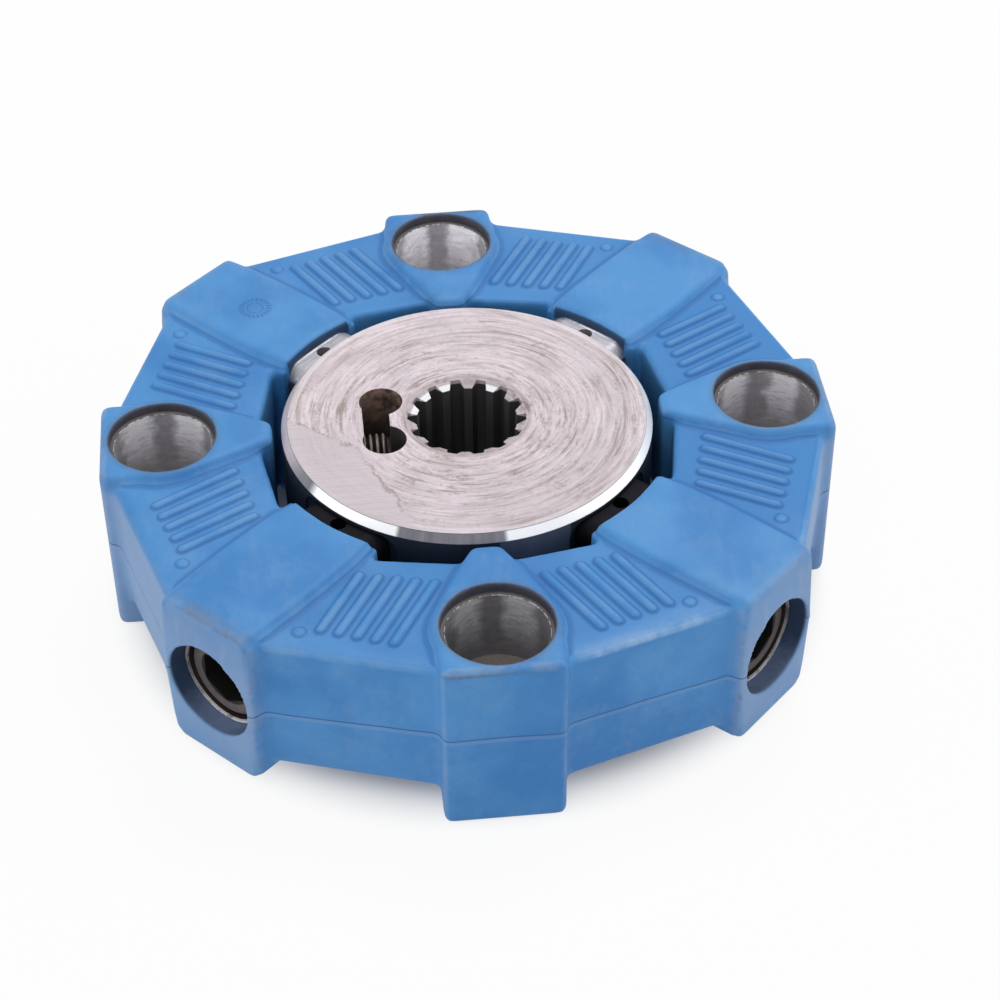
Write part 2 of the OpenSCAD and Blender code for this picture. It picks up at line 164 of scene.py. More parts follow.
def besideRadial(r, half):
    # point beside a radial boss, in the frame of the axial boss before it
    return ((r + half) * slant, (r - half) * slant)


def alongTo(a, b, measure, goal):
    # point of the line through a and b where the measure reaches the goal
    k = (goal - measure(a)) / (measure(b) - measure(a))
    return (a[0] + (b[0] - a[0]) * k, a[1] + (b[1] - a[1]) * k)


def halfWeb(s, draft, top):
    # web from the parting plane up, its walls leaning by the draft
    rise, half = top - midZ, s["radialHalf"]
    ends = []
    for (nearAxial, nearRadial), t in ((s["webOut"], s["axialHalf"]), (s["webIn"], s["kneeHalf"])):
        a, b = (nearAxial, t), besideRadial(nearRadial, half)
        ends.append((alongTo(a, b, lambda p: p[1], t * s["webInAxial"]),
                     alongTo(a, b, lambda p: (p[0] - p[1]) * slant, half * s["webInRadial"])))
    (outStart, outEnd), (inStart, inEnd) = ends
    bm = prism([inStart, outStart, outEnd, inEnd], midZ - overlap, top)
    outward = Vector((outEnd[1] - outStart[1], outStart[0] - outEnd[0])).normalized()
    inward = Vector((inStart[1] - inEnd[1], inEnd[0] - inStart[0])).normalized()
    shift = rise * math.tan(math.radians(draft))
    for v in bm.verts:
        if v.co.z > midZ:
            onOuter = (v.co.xy - Vector(outStart)).dot(outward) > -1  # within 1 mm of it
            v.co.xy -= (outward if onOuter else inward) * shift

    def topEdge(start, facing):
        # test for the top edge above one wall
        return lambda e: levelAt(e, [top]) and all(
            (v.co.xy - Vector(start)).dot(facing) > -shift - 1 for v in e.verts)

    roundEdges(bm, topEdge(outStart, outward), s["webOutEdge"])
    roundEdges(bm, topEdge(inStart, inward), s["webInEdge"])
    return bm


def upperWeb(s):
    return halfWeb(s, s["webDraftUp"], s["webTop"])


def lowerWeb(s):
    return flipHeight(halfWeb(s, s["webDraftDown"], 2 * midZ - s["webBottom"]))


def axialBlock(s):
    half, face, r = s["axialHalf"], s["axialFace"], s["axialRound"]
    side = math.degrees(math.asin(half / r))
    plan = [(face, half), *arc(boltCircle, r, side, s["noseStart"], s["noseSteps"]),
            (s["kneeAt"], s["kneeHalf"]), (s["tipAt"], s["tipHalf"])]
    bm = prism(plan + [(x, -y) for x, y in reversed(plan)], 0, s["height"])
    roundEdges(bm, outerUpright(face - 1), s["axialEdge"])
    roundEdges(bm, lambda e: levelAt(e, [0, s["height"]]), s["axialEdge"])
    return bm


def innerArc(s, half):
    # plan of the wall behind an insert pad, from plus half to minus half
    turn = math.degrees(math.asin(half / s["innerWall"]))
    return arc(0, s["innerWall"], turn, -turn, s["wallSteps"])


def leanBy(s, height):
    # how far the draft of a radial boss brings its faces in at a height
    return math.tan(math.radians(s["radialDraft"])) * (height - midZ)


def drafted(bm, s, height):
    # leans the outer flat and the sides of a radial boss in towards the top
    lean = leanBy(s, height)
    for v in bm.verts:
        if v.co.z > midZ and v.co.x > s["draftFrom"]:
            v.co.x -= lean
        if v.co.z > midZ:
            v.co.y -= math.copysign(min(lean, abs(v.co.y)), v.co.y)


def halfRadial(s, edge):
    face, top = s["radialFace"], s["radialTop"]
    wide = s["radialHalf"] + leanBy(s, top)
    bm = prism([(face, -wide), (face, wide), *innerArc(s, wide)], midZ - overlap, top)
    drafted(bm, s, top)
    roundEdges(bm, outerUpright(face - 2), s["radialCorner"])
    roundEdges(bm, lambda e: levelAt(e, [top]) and
               max(abs(v.co.y) for v in e.verts) > s["edgeFrom"], edge)
    return bm


def upperRadial(s):
    return halfRadial(s, s["radialEdge"])


def lowerRadial(s):
    return flipHeight(halfRadial(s, s["radialLowEdge"]))


def halfPad(s, edge):
    side = [(x, y) for x, y in zip(s["padAt"], s["padHalf"]) if x > s["innerWall"]]
    face, top = s["radialFace"], s["padTop"]
    bm = prism([(x, -y) for x, y in side] + side[::-1] + innerArc(s, s["padHalf"][0]),
               midZ - overlap, top)
    for v in bm.verts:
        if v.co.z > midZ and v.co.x > face - 0.1:
            v.co.x -= leanBy(s, top)
    roundEdges(bm, outerUpright(face - 2), s["padCorner"])
    roundEdges(bm, lambda e: levelAt(e, [top]), edge)
    return bm


def upperPad(s):
    return halfPad(s, s["padEdge"])


def lowerPad(s):
    return flipHeight(halfPad(s, s["padLowEdge"]))


def ribBar(s, index):
    # capsule sunk in the web, so that its back stands up by ribHeight
    bm = bmesh.new()
    r = s["ribRound"]
    length = s["ribLength"] - s["ribShorter"] * index - 2 * r
    bmesh.ops.create_uvsphere(bm, u_segments=20, v_segments=12, radius=r)
    bmesh.ops.rotate(bm, verts=bm.verts, matrix=Matrix.Rotation(math.pi / 2, 3, "Y"))
    waist = [e for e in bm.edges if all(abs(v.co.x) <= 0.001 for v in e.verts)]
    bmesh.ops.split_edges(bm, edges=waist)
    far = {v for f in bm.faces if f.calc_center_median().x > 0 for v in f.verts}
    bmesh.ops.translate(bm, verts=list(far), vec=(length, 0, 0))
    bmesh.ops.bridge_loops(bm, edges=[e for e in bm.edges if e.is_boundary])
    place = (Matrix.Translation((*s["ribStart"], s["webTop"] + s["ribHeight"] - r))
             @ Matrix.Rotation(math.radians(s["ribAngle"]), 4, "Z")
             @ Matrix.Translation((s["ribStagger"] * index + r, s["ribPitch"] * index, 0)))
    bmesh.ops.transform(bm, matrix=place, verts=bm.verts)
    return bm


def nub(s):
    bm = bmesh.new()
    height = s["nubSunk"] + s["nubHeight"]
    bmesh.ops.create_cone(bm, cap_ends=True, segments=24, radius1=s["nubFoot"],
                          radius2=s["nubTop"], depth=height)
    bmesh.ops.translate(bm, verts=bm.verts,
                        vec=(*s["nubAt"], s["webTop"] + height / 2 - s["nubSunk"]))
    return bm


def cutter(s, radius):
    bm = bmesh.new()
    bmesh.ops.create_cone(bm, cap_ends=True, segments=s["holeSides"], radius1=radius,
                          radius2=radius, depth=s["cutter"])
    return bm


def axialCutter(s):
    bm = cutter(s, s["axialHole"])
    bmesh.ops.translate(bm, verts=bm.verts, vec=(boltCircle, 0, midZ))
    return bm


def radialCutter(s):
    bm = cutter(s, s["radialHole"])
    bmesh.ops.rotate(bm, verts=bm.verts, matrix=Matrix.Rotation(math.pi / 2, 3, "Y"))
    bmesh.ops.translate(bm, verts=bm.verts, vec=(s["cutter"], 0, midZ))
    return bm


def aroundRing(makers, s, name):
    # each block at its own angle, mirrored if it has a twin, four times round
    whole = bmesh.new()
    for maker, own, mirrored in makers:
        for flip in ((False, True) if mirrored else (False,)):
            for turn in quarters:
                part = maker(s)
                bmesh.ops.rotate(part, verts=part.verts, matrix=Matrix.Rotation(own, 3, "Z"))
                if flip:
                    bmesh.ops.scale(part, verts=part.verts, vec=(1, -1, 1))
                    bmesh.ops.reverse_faces(part, faces=part.faces)
                bmesh.ops.rotate(part, verts=part.verts, matrix=Matrix.Rotation(turn, 3, "Z"))
                pour(part, whole)
    return newMesh(whole, name)


def makeRubber(s):
    eighth = math.pi / 4
    body = aroundRing([(axialBlock, 0, False), (upperRadial, eighth, False),
                       (lowerRadial, eighth, False), (upperPad, eighth, False),
                       (lowerPad, eighth, False), (upperWeb, 0, True), (lowerWeb, 0, True)],
                      s, "rubberElement")
    withModifier(body, "REMESH", mode="VOXEL", voxel_size=s["coarseVoxel"])
    withModifier(body, "SMOOTH", factor=s["smooth"], iterations=s["softening"])
    print("rubber body softened:", len(body.data.polygons), "faces")
    raised = [(lambda s, k=k: ribBar(s, k), 0, True) for k in range(s["ribs"])]
    bars = aroundRing(raised + [(nub, 0, True)], s, "bars")
    holes = aroundRing([(axialCutter, 0, False), (radialCutter, eighth, False)], s, "holes")
    withModifier(body, "BOOLEAN", operation="UNION", object=bars, solver="MANIFOLD")
    withModifier(body, "BOOLEAN", operation="DIFFERENCE", object=holes, solver="MANIFOLD")
    for tool in (bars, holes):
        bpy.data.objects.remove(tool)
    withModifier(body, "REMESH", mode="VOXEL", voxel_size=s["fineVoxel"])
    withModifier(body, "SMOOTH", factor=s["smooth"], iterations=s["lastSoftening"])
    print("rubber remeshed:", len(body.data.polygons), "faces")
    # a voxel mesh is all quads, two triangles each
    withModifier(body, "DECIMATE", ratio=s["triangles"] / (2 * len(body.data.polygons)))
    print("rubber thinned:", len(body.data.polygons), "faces")
    body.data.transform(Matrix.Scale(mm, 4))
    body.data.polygons.foreach_set("use_smooth", [True] * len(body.data.polygons))
    return body


rubber = makeRubber(rubberSize)
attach(rubber, "root")
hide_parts("rubber_element")


# shader helpers

class Wire:
    # a socket's value: expressions on it add Math nodes
    def __init__(self, shade, socket):
        self.shade, self.socket = shade, socket

    def maths(self, operation, *values):
        return self.shade.add("Math", {"operation": operation}, values)

    def other(self, name):
        return Wire(self.shade, self.socket.node.outputs[name])

    def __add__(self, b): return self.maths("ADD", self, b)
    def __radd__(self, b): return self.maths("ADD", b, self)
    def __sub__(self, b): return self.maths("SUBTRACT", self, b)
    def __rsub__(self, b): return self.maths("SUBTRACT", b, self)
    def __mul__(self, b): return self.maths("MULTIPLY", self, b)
    def __rmul__(self, b): return self.maths("MULTIPLY", b, self)
    def __truediv__(self, b): return self.maths("DIVIDE", self, b)
    def __rtruediv__(self, b): return self.maths("DIVIDE", b, self)
    def __abs__(self): return self.maths("ABSOLUTE", self)
    def atLeast(self, b): return self.maths("MAXIMUM", self, b)
    def atMost(self, b): return self.maths("MINIMUM", self, b)


class Shade:
    # one node tree: add makes every node
    def __init__(self, tree):
        self.tree = tree

    def add(self, kind, settings=None, values=(), out=0):
        made = self.tree.nodes.new("ShaderNode" + kind)
        for key, value in (settings or {}).items():
            setattr(made, key, value)
        for key, value in (values.items() if isinstance(values, dict) else enumerate(values)):
            self.feed(made.inputs[key], value)
        return Wire(self, made.outputs[out])

    def feed(self, socket, value):
        if isinstance(value, Wire):
            self.tree.links.new(value.socket, socket)
        elif value is not None:
            colour = socket.type == "RGBA" and len(value) == 3
            socket.default_value = (*value, 1) if colour else value

    def place(self):
        # position on the object, in mm
        where = self.add("TexCoord", out="Object")
        return self.add("VectorMath", {"operation": "SCALE"}, {0: where, "Scale": 1 / mm})

    def axes(self, where):
        x = self.add("SeparateXYZ", None, [where])
        return x, x.other("Y"), x.other("Z")

    def radialAxes(self, x, y):
        # distance out along the nearest radial boss, and sideways from its middle
        return (abs(x) + abs(y)) * slant, abs(abs(x) - abs(y)) * slant

    def point(self, x, y, z):
        return self.add("CombineXYZ", None, [x, y, z])

    def length(self, x, y):
        return self.add("VectorMath", {"operation": "LENGTH"}, [self.point(x, y, 0.0)], "Value")

    def noise(self, where, size, detail, rough=0.55):
        # size is the width of a patch in mm
        return self.add("TexNoise", None, {"Vector": where, "Scale": 1 / size,
                                           "Detail": detail, "Roughness": rough})

    def step(self, value, low, high):
        # 0 below low, 1 above high, smooth between
        return self.add("MapRange", {"interpolation_type": "SMOOTHSTEP"},
                        [value, low, high, 0.0, 1.0])

    def band(self, value, low, high, soft):
        # 1 between low and high, fading out over soft on both sides
        return self.step(value, low - soft, low) * (1 - self.step(value, high, high + soft))

    def mix(self, factor, a, b, blend="MIX"):
        return self.add("Mix", {"data_type": "RGBA", "blend_type": blend},
                        {0: factor, 6: a, 7: b}, 2)

    def dim(self, colour, factor):
        # colour times a number
        grey = self.add("CombineColor", None, [factor, factor, factor])
        return self.mix(1.0, colour, grey, "MULTIPLY")

    def bump(self, height, depth, strength):
        return self.add("Bump", None, {"Strength": strength, "Distance": depth * mm,
                                       "Height": height})


def newMaterial(name):
    material = bpy.data.materials.new(name)
    material.use_nodes = True
    return material, Shade(material.node_tree)


def finish(m, values):
    for key, value in values.items():
        m.feed(m.tree.nodes["Principled BSDF"].inputs[key], value)


def dress(piece, material):
    piece.data.materials.clear()
    piece.data.materials.append(material)


# blue rubber, dusty along its edges

rubberLook = {
    # among these colours: a pale one for dust and painted sheen, a light one for a painted
    # highlight, a dark blue for mould lines, print and painted crease shade, and a near black for
    # painted shade in recesses
    "blue": (0.078, 0.285, 0.62), "deep": (0.045, 0.215, 0.53), "haze": (0.19, 0.36, 0.60),
    "edge": (0.30, 0.40, 0.58), "gleam": (0.50, 0.66, 0.86), "brown": (0.17, 0.17, 0.20),
    "dirt": (0.10, 0.10, 0.105), "olive": (0.07, 0.085, 0.08), "grooveAndCreaseShade": (0.02, 0.11, 0.33),
    "hole": (0.014, 0.028, 0.062), "holeFoot": (0.17, 0.22, 0.34),
    "rimDirt": (0.050, 0.044, 0.052),
    # widths of the patches, in mm
    "broad": 34, "mottle": 12, "patch": 4.5, "grain": 0.6, "lineWander": 22,
    # how strongly one tone covers the one under it, 0 to 1
    "hazeShare": 0.28, "creaseShadeShare": 0.45, "backShare": 0.3, "dustAndSheenShare": 0.4,
    "padSheenShare": 0.2, "brownShare": 0.4, "grimeShare": 0.3, "frontShare": 0.5,
    "rearShare": 0.8, "radialHoleShadeShare": 0.92, "axialHoleShare": 0.93, "rimShare": 0.3,
    "shadeBehindPadsShare": 0.85, "highlightBelowLineShare": 0.22, "lineShare": 0.75, "stampShare": 0.45,
    "deepShare": (0.1, 0.3, 0.5), "gleamShare": (0.16, 0.4), "dustShare": (0.35, 0.4),
    # heights above the flange, in mm
    "webTopAt": (50.9, 52.5), "creaseShadeAt": (51.3, 51.7), "ribBacksAt": (51.7, 52.6),
    "webEdgeAt": (50.1, 50.6), "padEdgeAt": (52.9, 53.4), "frontEdgeAt": (52.3, 52.6),
    # places on the bosses and webs, in mm from the shaft or from a boss's middle
    "webInAxial": (92, 95), "webInRadial": (97, 99.5), "axialFlat": (96.6, 98),
    "radialFlat": (100, 103), "radialFace": (102.6, 103.6), "outwardFrom": (72, 86),
    "nubAt": rubberSize["nubAt"], "nubClear": (1.1, 1.8), "boreFrom": (60, 66),
    "lineLift": 1.9, "lineSlope": 0.032, "lineWidth": (0.1, 0.34),
    "stampAt": (-55.9, 56.1), "stampRadius": 4.2, "stampTicks": 20,
    "bumpDepth": 0.25,
}


def rubberFinish(look):
    material, m = newMaterial("rubberBlue")
    where = m.place()
    x, y, z = m.axes(where)
    broad, mottle = m.noise(where, look["broad"], 3), m.noise(where, look["mottle"], 5, 0.62)
    patches, grain = m.noise(where, look["patch"], 6, 0.72), m.noise(where, look["grain"], 2)
    brushed = m.noise(m.point(x * 0.5, y * 0.12, z * 0.3), 1, 4, 0.65)
    colour = m.mix(m.step(broad, 0.38, 0.66), look["blue"], look["deep"])
    hazy = m.step(mottle + brushed * 0.4, 0.62, 0.95)
    colour = m.mix(hazy * look["hazeShare"], colour, look["haze"])
    colour = m.dim(colour, 0.92 + grain * 0.16)

    # where a point lies on the bosses
    along, across = m.radialAxes(x, y)
    major, minor = abs(x).atLeast(abs(y)), abs(x).atMost(abs(y))
    rise = abs(z - midZ)
    holeAxial = m.length(major - boltCircle, minor)
    holeRadial = m.length(across, z - midZ)

    # web tops, deeper to the right, painted crease shade at the feet of what stands on them, and
    # the ribs' backs
    inside = (1 - m.step(major, *look["webInAxial"])) * (1 - m.step(along, *look["webInRadial"]))
    nubX, nubY = look["nubAt"]
    nubs = m.step(m.length(major - nubX, minor - nubY), *look["nubClear"])
    creaseShade = m.band(z, *look["creaseShadeAt"], 0.1) * inside * nubs
    low, high = look["ribBacksAt"]
    backs = m.step(z, low, low + 0.3) * (1 - m.step(z, high - 0.1, high)) * inside
    webTops = m.band(z, *look["webTopAt"], 0.2) * inside * nubs
    least, middle, right = look["deepShare"]
    deeper = least + m.step(x, -65, -30) * middle + m.step(x, 35, 65) * right
    colour = m.mix(webTops * deeper, colour, look["deep"])
    # painted shade: dark blue along the feet of the ribs and bosses
    colour = m.mix(creaseShade * look["creaseShadeShare"], colour, look["grooveAndCreaseShade"])
    colour = m.mix(backs * m.step(mottle, 0.3, 0.6) * look["backShare"], colour, look["haze"])

    # dusty faces of the bosses, their edges pale with dust and painted sheen, a painted highlight
    # along the webs' outer top edge, and dirt at the corners
    radialEdge = m.step(along, *look["radialFlat"]) * m.step(rise, 21.5, 24)
    radialEdge = radialEdge.atLeast(m.step(across, 13.8, 15) * m.step(along, 99, 103))
    axialEdge = m.step(major, *look["axialFlat"]) * m.step(z, 51.8, 53)
    axialSide = m.step(minor, 14.2, 15.3) * m.step(major, 96.5, 98.4)
    # painted sheen along the top edge of the pads
    padSheen = m.band(z, *look["padEdgeAt"], 0.2) * inside * (1 - m.step(holeAxial, 14.2, 14.3))
    webEdgeHighlight = m.band(z, *look["webEdgeAt"], 0.9) * m.step(m.length(x, y), 90, 93) * inside
    dustAndSheen = radialEdge.atLeast(axialEdge).atLeast(axialSide * 0.7)
    outward = m.step(abs(x), *look["outwardFrom"]) * (1 - m.step(z, 47.5, 50.5))
    outward = outward * m.step(holeAxial, 14.5, 15)
    dusty = m.step(along, *look["radialFace"]).atLeast(outward)
    least, more = look["dustShare"]
    colour = m.mix(dusty * (least + mottle * more), colour, look["edge"])
    colour = m.mix(dustAndSheen * m.step(mottle, 0.32, 0.55) * look["dustAndSheenShare"], colour, look["edge"])
    colour = m.mix(padSheen * look["padSheenShare"], colour, look["edge"])
    # painted highlight along the webs' outer top edge, stronger to the right and away from the
    # front
    glint = m.step(patches * 0.5 + broad * 0.7, 0.4, 0.75) * (1 - m.step(y, -60, -45))
    least, more = look["gleamShare"]
    colour = m.mix(webEdgeHighlight * glint * (least + m.step(x, 0, 30) * more), colour, look["gleam"])
    brown = m.step(along, 97.5, 101) * m.step(z, 52, 53)
    brown = brown * m.step(patches * 0.6 + broad, 0.72, 0.98)
    colour = m.mix(brown * look["brownShare"], colour, look["brown"])
    corner = m.step(across, 9, 13).atLeast(m.step(minor, 9, 14)) * dustAndSheen
    grime = m.step(corner * 0.4 + patches, 0.84, 1.14)
    colour = m.mix(grime * look["grimeShare"], colour, look["dirt"])

    # dirt along the front edge of one boss and the back edge of the opposite one
    atFront = m.step(major, 97.6, 98.6) * m.band(z, *look["frontEdgeAt"], 0.5)
    atFront = atFront * (1 - m.step(y, -90, -84)) * (1 - m.step(x + patches * 8, -6, 22))
    atFront = atFront * m.step(patches, 0.25, 0.6)
    atRear = m.step(y, 96, 97.6) * m.step(z, 52.6, 53.4) * m.step(patches + x * 0.008, 0.4, 0.6)
    colour = m.mix(atFront * look["frontShare"], colour, look["olive"])
    colour = m.mix(atRear * look["rearShare"], colour, look["dirt"])

    # holes: painted shade on the wall of the radial ones, lighter towards the bottom as painted
    # light, and a dirty rim round the axial ones
    inRadial = (1 - m.step(holeRadial, 13.9, 14.3)) * (1 - m.step(along, *look["radialFace"]))
    inRadial = inRadial * m.step(along, *look["boreFrom"])
    wall = m.mix(1 - m.step(z - patches * 6, 10, 20), look["hole"], look["holeFoot"])
    colour = m.mix(inRadial * look["radialHoleShadeShare"], colour, wall)
    ragged = holeAxial - patches * 0.9
    outside = m.step(major, *look["boreFrom"])
    inAxial = (1 - m.step(ragged, 13.9, 14.6)) * outside
    around = (1 - m.step(ragged, 14.2, 16.4)) * outside
    colour = m.mix(around * look["rimShare"], colour, look["dirt"])
    rim = m.dim(look["rimDirt"], 0.5 + patches * 1.4)
    colour = m.mix(inAxial * look["axialHoleShare"], colour, rim)

    # painted shade on the wall behind the insert pads
    shadeBehindPads = m.step(z, 48, 50) * (1 - m.step(z, 52.5, 53)) * (1 - m.step(along, 56.6, 58))
    shadeBehindPads = shadeBehindPads * (1 - m.step(across, 12.2, 13))
    colour = m.mix(shadeBehindPads * look["shadeBehindPadsShare"], colour, look["hole"])

    # parting line of the mould, higher by the axial bosses, with a painted highlight on the band
    # just below it
    lift = (look["lineLift"] - minor * look["lineSlope"]).atLeast(0.1)
    lift = lift + (m.noise(where, look["lineWander"], 2) - 0.5) * 0.8
    outer = m.step(major, 62, 66)
    line = (1 - m.step(abs(z - lift - midZ), *look["lineWidth"])) * outer
    highlightBelowLine = m.band(z - lift, midZ - 1.3, midZ - 0.3, 0.4) * outer
    colour = m.mix(highlightBelowLine * (1 - inRadial) * look["highlightBelowLineShare"], colour, look["edge"])
    colour = m.mix(line * (1 - inRadial) * look["lineShare"], colour, look["grooveAndCreaseShade"])

    # round stamp: a ring of ticks on one pad
    stampX, stampY = look["stampAt"]
    u, v = x - stampX, y - stampY
    stampR = m.length(u, v)
    turn = v.maths("ARCTAN2", v, u) * (look["stampTicks"] / 2)
    tick = abs(turn.maths("SINE", turn))
    radius = look["stampRadius"]
    ring = m.band(stampR, radius - 0.9, radius + 0.5, 0.15)
    inner = m.band(stampR, radius - 2.0, radius - 1.8, 0.15)
    stamp = (ring * m.step(tick, 0.45, 0.7)).atLeast(inner) * m.step(z, 53.2, 53.4)
    colour = m.mix(stamp * look["stampShare"], colour, look["grooveAndCreaseShade"])

    height = grain * 0.25 + mottle * 0.9 + patches * grime * 0.5 - line * 0.8 - stamp * 0.6
    finish(m, {"Base Color": colour, "Roughness": 0.44 + mottle * 0.2 + grime * 0.15,
               "Normal": m.bump(height, look["bumpDepth"], 0.7), "Specular IOR Level": 0.3})
    return material


# hub steel: turned face, chamfers with painted reflections, black side and bore, rusty slot

hubLook = {
    # the near white is a painted highlight and reflection, and the dark grey a dark painted
    # reflection on the chamfer
    "face": (0.64, 0.558, 0.594), "scratch": (0.25, 0.17, 0.15), "smooth": (0.56, 0.495, 0.53),
    "stain": (0.22, 0.14, 0.11), "highlightWhite": (0.93, 0.93, 0.95), "grey": (0.12, 0.11, 0.14),
    "side": (0.010, 0.014, 0.024), "panel": (0.085, 0.105, 0.15), "bore": (0.045, 0.045, 0.047),
    "crest": (0.07, 0.071, 0.075), "rust": (0.40, 0.24, 0.19), "soot": (0.04, 0.036, 0.036),
    # turning marks: arcs, lines, shift and detail of their noise
    "fine": (2.2, 1.3, 0, 4), "coarse": (2.4, 0.42, 5, 4),
    "rare": (2.0, 0.8, 11, 5), "dark": (3.0, 0.55, 17, 5),
    # widths of the patches, in mm
    "speck": 1.3, "cloud": 14, "grit": 0.45, "wearAndHighlight": 24, "jag": 5, "rustPatch": 3,
    # shares and shades, 0 to 1
    "frontShade": 0.11, "rightShade": 0.07, "rimGlow": 0.15, "speckShare": 0.4,
    "rareShare": (0.3, 0.5), "darkShare": (0.25, 0.55), "ringShare": 0.3,
    "sectorShare": 0.85, "stainShare": 0.6, "panelShare": 0.9,
    # angles round the shaft, in degrees: where the painted reflections on the chamfers are grey or
    # bright, and the side's panel
    "darkReflectionAt": ((-115.5, -84.5), (-174, -152)), "brightLead": (98, 172),
    "brightTooth": (50, 66), "panelAt": (-85, -63.6),
    # heights and radii where one finish ends and the next begins, in mm
    "topFace": (53.9, 53.98), "bottomFace": (4.02, 4.1), "chamferFrom": (48.72, 48.9),
    "leadInTo": (17.2, 17.4), "leadTo": (15.2, 15.6), "crestTo": (13.82, 14.0),
    "boreTo": (17.6, 17.8), "ringAt": 17.6, "arcStain": 34.3,
    "stainLines": (((-50, 4.5), (-31, -11)), ((-31, -11), (-16, -47))),
    "slotX": (-17.5, -17), "slotY": (14.6, 15), "slotR": (31, 32), "bumpDepth": 0.05,
}


def besideLine(x, y, ends):
    # signed distance from a line, plus on the side of the shaft axis
    (ax, ay), (bx, by) = ends
    nx, ny = ay - by, bx - ax
    size = math.hypot(nx, ny) * math.copysign(1, -nx * ax - ny * ay)
    return (x - ax) * (nx / size) + (y - ay) * (ny / size)


def hubFinish(look):
    material, m = newMaterial("hubSteel")
    where = m.place()
    x, y, z = m.axes(where)
    r = m.length(x, y)
    cosine, sine = x / r, y / r
    angle = y.maths("ARCTAN2", y, x) * math.degrees(1)

    def turned(arcs, lines, shift, detail):
        # noise drawn out along circles round the shaft
        return m.noise(m.point(cosine * arcs + shift, sine * arcs, r * lines), 1, detail, 0.7)

    fine, coarse, rare, dark = (turned(*look[k]) for k in ("fine", "coarse", "rare", "dark"))
    speck, cloud = m.noise(where, look["speck"], 4, 0.75), m.noise(where, look["cloud"], 3)
    grit = m.noise(where, look["grit"], 2)
    wearAndHighlight = m.step(m.noise(where, look["wearAndHighlight"], 3), 0.36, 0.62)
    face = m.dim(look["face"], fine * 0.8 + coarse * 0.6 + cloud * 0.3 + grit * 0.3)
    least, more = look["rareShare"]
    face = m.mix(m.step(rare, 0.48, 0.64) * (least + wearAndHighlight * more), face, look["scratch"])
    least, more = look["darkShare"]
    darker = m.step(dark, 0.5, 0.66) * m.step(speck, 0.35, 0.6) * (least + wearAndHighlight * more)
    face = m.mix(darker, face, look["scratch"])
    face = m.mix(m.step(speck, 0.52, 0.75) * look["speckShare"], face, look["scratch"])
    nearRing = 1 - m.step(abs(r - look["ringAt"]), 0.1, 0.5)
    face = m.mix(nearRing * look["ringShare"], face, look["scratch"])
    # painted shade: the front and right of the face darker; painted highlight: paler towards the
    # rim
    shade = (1 - m.step(y, -46, 0)) * look["frontShade"] + m.step(x, 5, 45) * look["rightShade"]
    face = m.dim(face, 1 - shade)
    face = m.mix(m.step(r, 46, 48) * look["rimGlow"], face, look["highlightWhite"])

    # smoother sector with straight lines, behind a stained edge
    jag = (m.noise(where, look["jag"], 5, 0.65) - 0.5) * 6
    first, second = (besideLine(x, y, ends) for ends in look["stainLines"])
    beside = first.atLeast(second) + jag
    sector = 1 - m.step(beside, -0.3, 0.3)
    straight = m.noise(m.point(x * 0.05, y * 1.5, 0.0), 1, 4, 0.7)
    smooth = m.dim(look["smooth"], 0.68 + straight * 0.6)
    face = m.mix(sector * look["sectorShare"], face, smooth)
    stain = 1 - m.step(abs(beside), 0.1, 0.8)
    arcStain = 1 - m.step(abs(r - look["arcStain"] + jag * 0.12), 0.2, 0.7)
    arcStain = arcStain * (1 - m.step(x, -30, -26)) * m.step(y, -8, -5) * (1 - m.step(y, 17, 22))
    stain = stain.atLeast(arcStain) * m.step(speck + cloud, 0.85, 1.15)
    face = m.mix(stain * look["stainShare"], face, look["stain"])

    # turned chamfers: painted reflections, white, grey at some angles and face-coloured at the far
    # left; a painted highlight on the lead-in at some angles
    onFace = m.step(z, *look["topFace"]).atLeast(1 - m.step(z, *look["bottomFace"]))
    rise = abs(z - midZ)
    outerChamfer = m.step(r, *look["chamferFrom"]) * (1 - onFace) * m.step(rise, 22.6, 22.9)
    streaks = m.noise(m.point(cosine * 20, sine * 20, 0.0), 1, 3)
    front, left = look["darkReflectionAt"]
    darkReflection = m.band(angle, *front, 2).atLeast(m.band(angle, *left, 5)) * (0.75 + streaks * 0.3)
    farLeft = (1 - m.step(x, -38, -26)) * m.step(y, -22, -8)
    chamfer = m.mix(darkReflection, look["highlightWhite"], look["grey"])
    chamfer = m.mix(farLeft, chamfer, look["face"])
    leadIn = (1 - m.step(r, *look["leadInTo"])) * (1 - onFace) * m.step(rise, 23.15, 23.25)
    lit = m.band(angle, *look["brightLead"], 3).atLeast(m.band(angle, *look["brightTooth"], 3))
    lead = m.mix(lit * (1 - m.step(r, *look["leadTo"])), m.dim(face, 0.85), look["highlightWhite"])

    # black side with a paler panel, bore with paler tooth tips, rusty slot
    panel = m.band(angle, *look["panelAt"], 1)
    side = m.mix(panel * look["panelShare"], look["side"], look["panel"])
    side = m.dim(side, 0.75 + m.noise(m.point(cosine * 9, sine * 9, z * 0.05), 1, 4) * 0.5)
    crest = 1 - m.step(r, *look["crestTo"])
    streak = m.noise(m.point(cosine * 7, sine * 7, z * 0.03), 1, 4)
    bore = m.mix(crest * streak, look["bore"], look["crest"])
    slot = (1 - m.step(x, *look["slotX"])) * (1 - m.step(abs(y), *look["slotY"]))
    slot = slot * (1 - m.step(r, *look["slotR"]))
    rusty = m.step(speck * 0.4 + m.noise(where, look["rustPatch"], 4) * 0.7, 0.38, 0.7)
    rusty = rusty * m.step(z, 36, 51) * m.step(abs(y), 5.5, 8)
    slotWall = m.mix(rusty, look["soot"], look["rust"])

